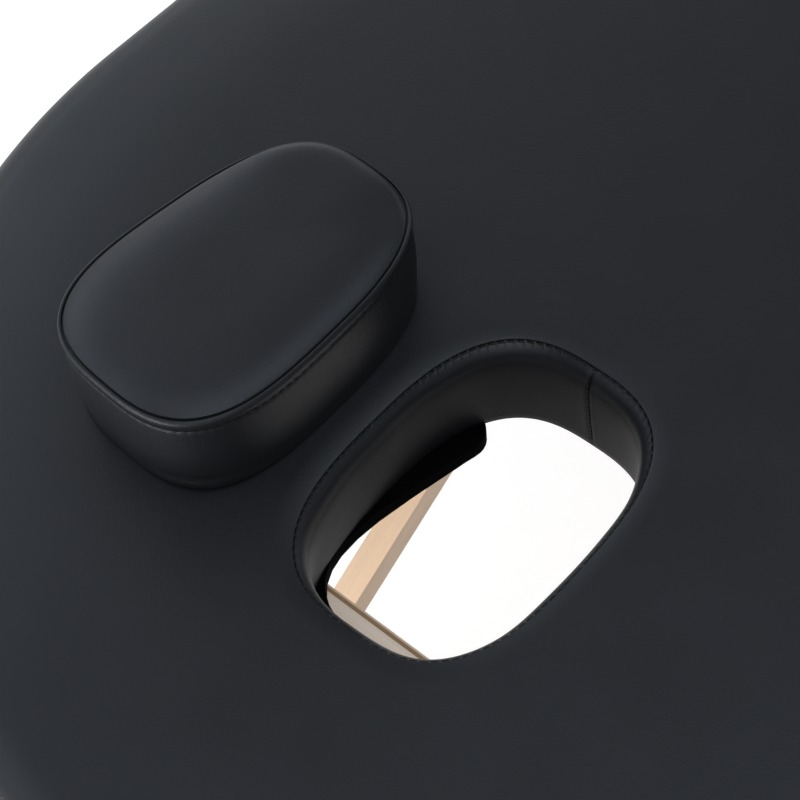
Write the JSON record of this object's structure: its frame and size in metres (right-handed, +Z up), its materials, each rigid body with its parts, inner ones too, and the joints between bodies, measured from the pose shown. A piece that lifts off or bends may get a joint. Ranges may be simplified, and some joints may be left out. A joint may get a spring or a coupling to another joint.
{
  "type": "massage table",
  "caption": "Portable folding massage table with half-round ends, black padded top, oval face hole with loose plug cushion, beech frame, elbow-strut legs and sliding height extensions.",
  "frame": {"origin": "on the floor under the middle of the open table", "axes": "+X to the head end with the face hole, +Y to the left side with the carry handles, +Z up"},
  "size_m": [1.9, 0.77, 0.6874],
  "materials": {
    "leatherette": "fine-grained black leatherette, satin",
    "foam": "cream upholstery foam",
    "plywood": "birch plywood, sanded",
    "beech": "pale beech, satin lacquer",
    "steel": "plated steel",
    "rubber": "black rubber",
    "black_plastic": "black moulded plastic",
    "webbing": "black woven webbing"
  },
  "bodies": {
    "head_section": {"head_cover": "leatherette", "head_foam": "foam", "head_deck": "plywood", "head_end_apron": "beech", "head_centre_rail": "beech", "head_side_rail_left": "beech", "head_side_rail_right": "beech", "head_leg_hanger_left": "beech", "head_leg_hanger_right": "beech", "head_strut_rail": "beech", "head_hinge_leaf": "steel", "head_carry_handle": "webbing", "face_hole_lining": "leatherette", "plug_ledge": "black_plastic", "hinge_pin": "steel"},
    "foot_section": {"foot_cover": "leatherette", "foot_foam": "foam", "foot_deck": "plywood", "foot_end_apron": "beech", "foot_centre_rail": "beech", "foot_side_rail_left": "beech", "foot_side_rail_right": "beech", "foot_leg_hanger_left": "beech", "foot_leg_hanger_right": "beech", "foot_strut_rail": "beech", "foot_hinge_leaf": "steel", "foot_carry_handle": "webbing", "latch_stud": "steel"},
    "head_legs": {"head_leg_left": "beech", "head_leg_right": "beech", "head_top_crossbar": "beech", "head_low_crossbar": "beech"},
    "head_upper_struts": {"head_upper_strut_left": "beech", "head_upper_strut_right": "beech"},
    "head_lower_struts": {"head_lower_strut_left": "beech", "head_lower_strut_right": "beech"},
    "head_extension_left": {"head_extension_left": "beech", "head_rubber_foot_left": "rubber"},
    "head_knob_left": {"head_knob_left": "black_plastic"},
    "head_extension_right": {"head_extension_right": "beech", "head_rubber_foot_right": "rubber"},
    "head_knob_right": {"head_knob_right": "black_plastic"},
    "foot_legs": {"foot_leg_left": "beech", "foot_leg_right": "beech", "foot_top_crossbar": "beech", "foot_low_crossbar": "beech"},
    "foot_upper_struts": {"foot_upper_strut_left": "beech", "foot_upper_strut_right": "beech"},
    "foot_lower_struts": {"foot_lower_strut_left": "beech", "foot_lower_strut_right": "beech"},
    "foot_extension_left": {"foot_extension_left": "beech", "foot_rubber_foot_left": "rubber"},
    "foot_knob_left": {"foot_knob_left": "black_plastic"},
    "foot_extension_right": {"foot_extension_right": "beech", "foot_rubber_foot_right": "rubber"},
    "foot_knob_right": {"foot_knob_right": "black_plastic"},
    "plug": {"plug_cover": "leatherette", "plug_foam": "foam", "plug_base": "plywood"},
    "latch": {"latch_hook": "steel"}
  },
  "joints": [
    {"name": "fold", "type": "hinge", "parent": "head_section", "child": "foot_section", "pos_m": [0, 0, 0.4609], "axis": [0, -1, 0], "range_deg": [0, 180]},
    {"name": "head_leg_fold", "type": "hinge", "parent": "head_section", "child": "head_legs", "pos_m": [0.7265, 0, 0.485], "axis": [0, 1, 0], "range_deg": [0, 90]},
    {"name": "head_upper_strut_turn", "type": "hinge", "parent": "head_section", "child": "head_upper_struts", "pos_m": [0.168, 0, 0.522], "axis": [0, 1, 0], "range_deg": [-30.82, 0]},
    {"name": "head_lower_strut_turn", "type": "hinge", "parent": "head_legs", "child": "head_lower_struts", "pos_m": [0.6895, 0, 0.211], "axis": [0, 1, 0], "range_deg": [0, 59.2]},
    {"name": "head_extension_left_slide", "type": "slide", "parent": "head_legs", "child": "head_extension_left", "axis": [0, 0, -1], "range_m": [0, 0.12]},
    {"name": "head_knob_left_turn", "type": "hinge", "parent": "head_legs", "child": "head_knob_left", "pos_m": [0.719, 0.2336, 0.16], "axis": [0, 1, 0], "continuous": true},
    {"name": "head_extension_right_slide", "type": "slide", "parent": "head_legs", "child": "head_extension_right", "axis": [0, 0, -1], "range_m": [0, 0.12]},
    {"name": "head_knob_right_turn", "type": "hinge", "parent": "head_legs", "child": "head_knob_right", "pos_m": [0.719, -0.2336, 0.16], "axis": [0, 1, 0], "continuous": true},
    {"name": "foot_leg_fold", "type": "hinge", "parent": "foot_section", "child": "foot_legs", "pos_m": [-0.7265, 0, 0.485], "axis": [0, -1, 0], "range_deg": [0, 90]},
    {"name": "foot_upper_strut_turn", "type": "hinge", "parent": "foot_section", "child": "foot_upper_struts", "pos_m": [-0.168, 0, 0.522], "axis": [0, -1, 0], "range_deg": [-30.82, 0]},
    {"name": "foot_lower_strut_turn", "type": "hinge", "parent": "foot_legs", "child": "foot_lower_struts", "pos_m": [-0.6895, 0, 0.211], "axis": [0, -1, 0], "range_deg": [0, 59.2]},
    {"name": "foot_extension_left_slide", "type": "slide", "parent": "foot_legs", "child": "foot_extension_left", "axis": [0, 0, -1], "range_m": [0, 0.12]},
    {"name": "foot_knob_left_turn", "type": "hinge", "parent": "foot_legs", "child": "foot_knob_left", "pos_m": [-0.719, 0.2786, 0.16], "axis": [0, 1, 0], "continuous": true},
    {"name": "foot_extension_right_slide", "type": "slide", "parent": "foot_legs", "child": "foot_extension_right", "axis": [0, 0, -1], "range_m": [0, 0.12]},
    {"name": "foot_knob_right_turn", "type": "hinge", "parent": "foot_legs", "child": "foot_knob_right", "pos_m": [-0.719, -0.2786, 0.16], "axis": [0, 1, 0], "continuous": true},
    {"name": "plug_lift", "type": "slide", "parent": "head_section", "child": "plug", "axis": [0, 0, 1], "range_m": [0, 0.25]},
    {"name": "latch_turn", "type": "hinge", "parent": "head_section", "child": "latch", "pos_m": [0.45, 0.36, 0.4907], "axis": [0, 1, 0], "range_deg": [0, 90]}
  ],
  "couplings": [
    {"joint": "head_leg_fold", "follows": "fold", "ratio": 0.5},
    {"joint": "head_upper_strut_turn", "follows": "fold", "ratio": -0.17117},
    {"joint": "head_lower_strut_turn", "follows": "fold", "ratio": 0.32883},
    {"joint": "foot_leg_fold", "follows": "fold", "ratio": 0.5},
    {"joint": "foot_upper_strut_turn", "follows": "fold", "ratio": -0.17117},
    {"joint": "foot_lower_strut_turn", "follows": "fold", "ratio": 0.32883}
  ]
}
